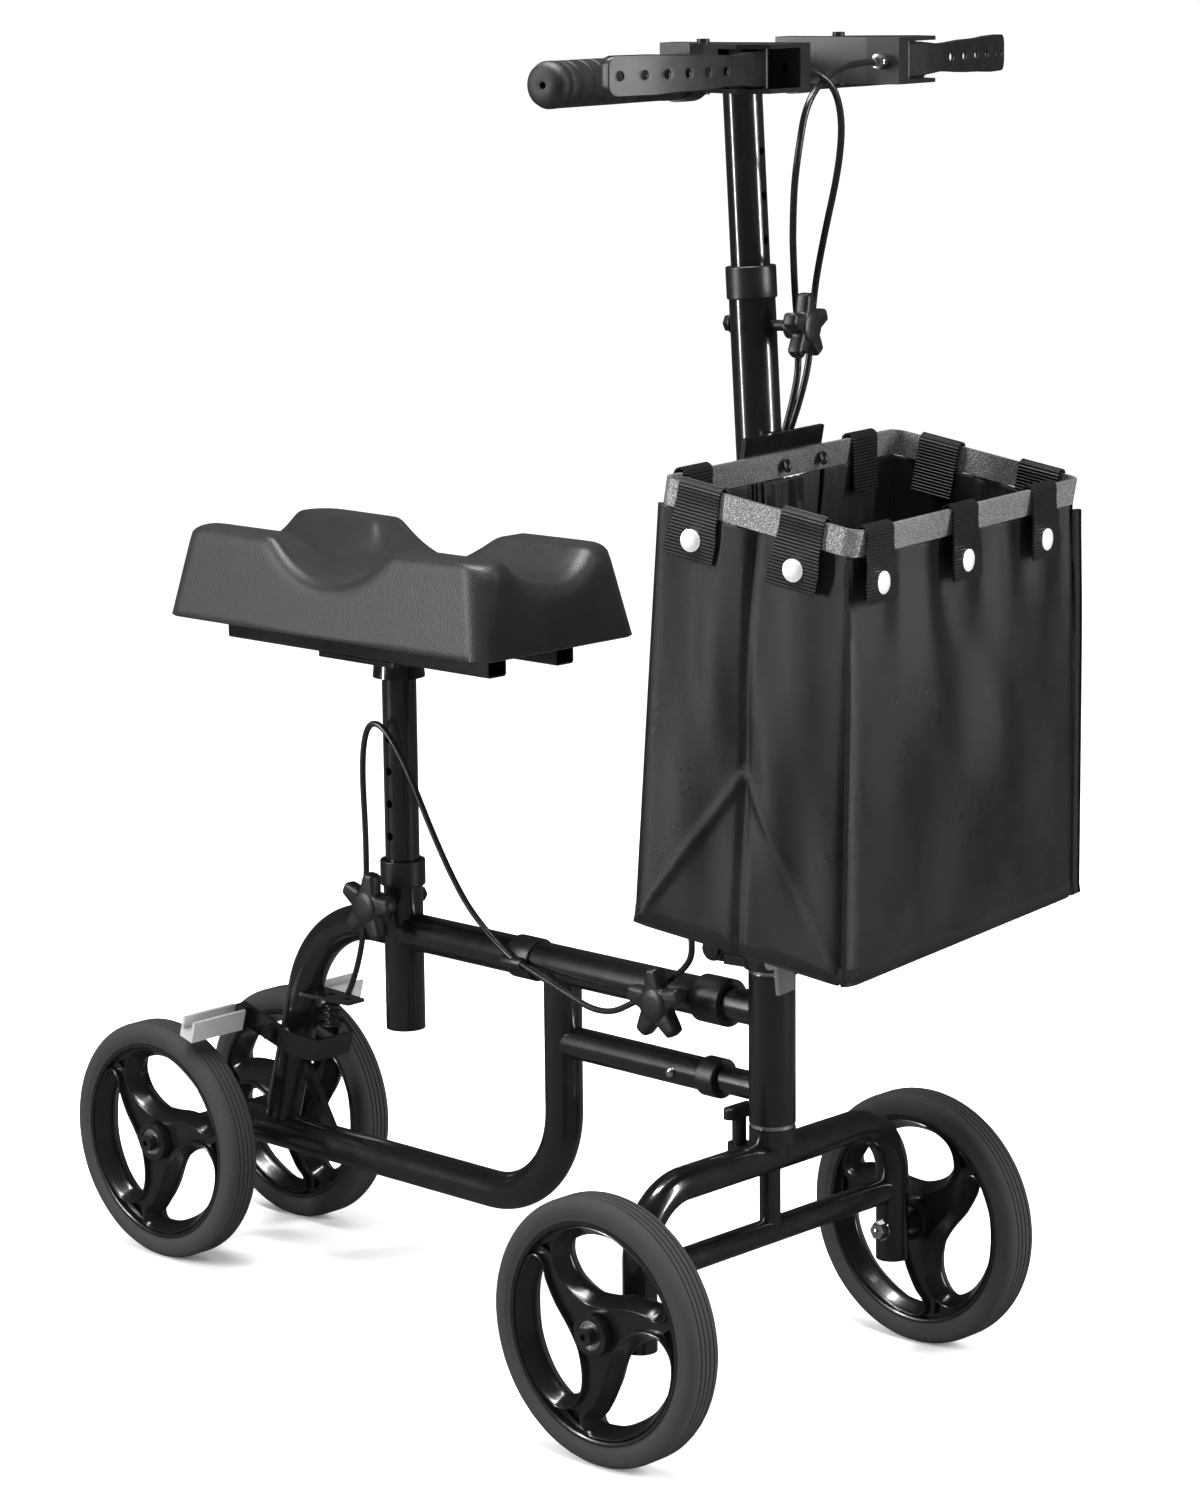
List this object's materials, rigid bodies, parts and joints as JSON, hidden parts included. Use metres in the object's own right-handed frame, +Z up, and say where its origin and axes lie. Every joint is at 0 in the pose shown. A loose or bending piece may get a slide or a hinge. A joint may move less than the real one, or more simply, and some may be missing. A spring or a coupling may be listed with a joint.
{
  "type": "knee scooter",
  "caption": "Steerable four-wheel knee scooter with a height-adjustable knee pad, folding handlebar column, rear brake and front bag.",
  "frame": {"origin": "on the ground, under the middle of the whole scooter", "axes": "+X forward, the way it rolls; +Y to the rider's left; +Z up"},
  "size_m": [0.9013, 0.5259, 1.0124],
  "materials": {
    "frame_paint": "gloss black paint",
    "basket_powder": "dark grey sparkling powder coat",
    "black_plastic": "satin black moulded plastic",
    "rim_plastic": "gloss black moulded plastic",
    "tyre_rubber": "smooth black polyurethane with fine grooves",
    "steel": "bright turned steel",
    "black_bolt": "blackened steel",
    "chrome": "bright chrome plating",
    "shoe_aluminium": "light satin aluminium",
    "cable_rubber": "smooth black sheath",
    "grip_rubber": "moulded black rubber",
    "pad_skin": "matt black moulded polyurethane foam skin",
    "bag_fabric": "coated black oxford nylon",
    "webbing": "ribbed black webbing"
  },
  "bodies": {
    "rear_frame": {"top_tube": "frame_paint", "rear_bend_tube": "frame_paint", "lower_tube": "frame_paint", "seat_tube": "frame_paint", "rear_axle_tube": "frame_paint", "lower_sleeve": "frame_paint", "leg_brackets": "frame_paint", "seat_collar": "black_plastic", "sleeve_collars": "black_plastic", "rear_bolts": "black_bolt", "brake_boot": "cable_rubber", "rear_brake_cable": "cable_rubber"},
    "rear_right_wheel": {"rear_right_tyre": "tyre_rubber", "rear_right_rim": "rim_plastic", "rear_right_bearings": "steel"},
    "rear_left_wheel": {"rear_left_tyre": "tyre_rubber", "rear_left_rim": "rim_plastic", "rear_left_bearings": "steel"},
    "front_right_wheel": {"front_right_tyre": "tyre_rubber", "front_right_rim": "rim_plastic", "front_right_bearings": "steel"},
    "front_left_wheel": {"front_left_tyre": "tyre_rubber", "front_left_rim": "rim_plastic", "front_left_bearings": "steel"},
    "rear_brake": {"brake_yoke": "frame_paint", "brake_shoes": "shoe_aluminium"},
    "seat": {"seat_post": "frame_paint", "seat_frame": "frame_paint", "knee_pad": "pad_skin"},
    "seat_clamp": {"seat_knob": "black_plastic"},
    "frame_clamp": {"frame_knob": "black_plastic"},
    "stem_clamp": {"stem_knob": "black_plastic"},
    "front_section": {"head_tube": "frame_paint", "headset_cups": "steel", "upper_slide_tube": "frame_paint", "lower_slide_tube": "frame_paint", "neck_brake_cable": "cable_rubber"},
    "steering": {"steerer_tube": "frame_paint", "fork_tube": "frame_paint", "fork_crossbar": "frame_paint", "front_axle_bolts": "black_bolt", "fold_base": "frame_paint"},
    "column": {"fold_bracket": "frame_paint", "stem_lower_tube": "frame_paint", "stem_collar": "black_plastic", "basket_bracket": "frame_paint", "basket_frame": "basket_powder", "storage_bag": "bag_fabric", "bag_loops": "webbing", "column_brake_cables": "cable_rubber"},
    "handlebar": {"stem_upper_tube": "frame_paint", "handlebar_tube": "frame_paint", "grips": "grip_rubber", "lever_housings": "black_plastic", "handlebar_brake_cables": "cable_rubber"},
    "right_lever": {"right_brake_lever": "black_plastic"},
    "left_lever": {"left_brake_lever": "black_plastic"},
    "sleeve_button": {"spring_button": "chrome"},
    "fold_latch": {"fold_latch_lever": "chrome"},
    "steering_lock": {"steering_lock_screw": "black_plastic"}
  },
  "joints": [
    {"name": "rear_right_spin", "type": "hinge", "parent": "rear_frame", "child": "rear_right_wheel", "pos_m": [-0.35065, -0.075, 0.1], "axis": [0, 1, 0], "continuous": true},
    {"name": "rear_left_spin", "type": "hinge", "parent": "rear_frame", "child": "rear_left_wheel", "pos_m": [-0.35065, 0.075, 0.1], "axis": [0, 1, 0], "continuous": true},
    {"name": "front_right_spin", "type": "hinge", "parent": "steering", "child": "front_right_wheel", "pos_m": [0.25435, -0.18, 0.1], "axis": [0, 1, 0], "continuous": true},
    {"name": "front_left_spin", "type": "hinge", "parent": "steering", "child": "front_left_wheel", "pos_m": [0.25435, 0.18, 0.1], "axis": [0, 1, 0], "continuous": true},
    {"name": "right_lever_pull", "type": "hinge", "parent": "handlebar", "child": "right_lever", "pos_m": [0.32748, -0.08581, 0.993], "axis": [0, 0, -1], "range_deg": [0, 12], "stiffness_Nm_per_rad": 1.5, "springref_deg": -6.88},
    {"name": "left_lever_pull", "type": "hinge", "parent": "handlebar", "child": "left_lever", "pos_m": [0.29678, 0.10372, 0.993], "axis": [0, 0, 1], "range_deg": [0, 12], "stiffness_Nm_per_rad": 1.5, "springref_deg": -6.88},
    {"name": "rear_brake_turn", "type": "hinge", "parent": "rear_frame", "child": "rear_brake", "pos_m": [-0.26481, 0, 0.198], "axis": [0, -1, 0], "range_deg": [0, 9], "deforming": ["brake_boot"]},
    {"name": "seat_height", "type": "slide", "parent": "rear_frame", "child": "seat", "axis": [0, 0, 1], "range_m": [-0.1, 0.025], "deforming": ["rear_brake_cable"]},
    {"name": "seat_clamp_turn", "type": "hinge", "parent": "rear_frame", "child": "seat_clamp", "pos_m": [-0.13625, -0.032, 0.326], "axis": [0, -1, 0], "range_deg": [-180, 0]},
    {"name": "frame_clamp_turn", "type": "hinge", "parent": "rear_frame", "child": "frame_clamp", "pos_m": [0.17635, -0.032, 0.3], "axis": [0, -1, 0], "range_deg": [-180, 0]},
    {"name": "sleeve_button_press", "type": "slide", "parent": "rear_frame", "child": "sleeve_button", "axis": [0, 1, 0], "range_m": [0, 0.003], "stiffness_N_per_m": 300, "springref_m": -0.002},
    {"name": "front_slide", "type": "slide", "parent": "rear_frame", "child": "front_section", "axis": [1, 0, 0], "range_m": [0, 0.04], "deforming": ["neck_brake_cable"]},
    {"name": "steer", "type": "hinge", "parent": "front_section", "child": "steering", "pos_m": [0.25685, 0, 0.27], "axis": [0, 0, 1], "range_deg": [-45, 45]},
    {"name": "steering_lock_turn", "type": "hinge", "parent": "steering", "child": "steering_lock", "pos_m": [0.22385, 0, 0.21], "axis": [0, 0, 1], "range_deg": [-90, 90]},
    {"name": "column_fold", "type": "hinge", "parent": "steering", "child": "column", "pos_m": [0.21342, -0.00703, 0.345], "axis": [0.1599, -0.9871, 0], "range_deg": [0, 28]},
    {"name": "fold_latch_swing", "type": "hinge", "parent": "column", "child": "fold_latch", "pos_m": [0.28174, -0.02231, 0.347], "axis": [0.1599, -0.9871, 0], "range_deg": [0, 25], "stiffness_Nm_per_rad": 0.3, "springref_deg": -8.59},
    {"name": "handlebar_height", "type": "slide", "parent": "column", "child": "handlebar", "axis": [-0.051, -0.0083, 0.9987], "range_m": [-0.12, 0.03], "deforming": ["handlebar_brake_cables"]},
    {"name": "stem_clamp_turn", "type": "hinge", "parent": "column", "child": "stem_clamp", "pos_m": [0.28054, 0.00384, 0.808], "axis": [0.9871, 0.1599, 0], "range_deg": [-180, 0]}
  ],
  "couplings": [
    {"joint": "rear_brake_turn", "follows": "right_lever_pull", "ratio": 0.75}
  ]
}
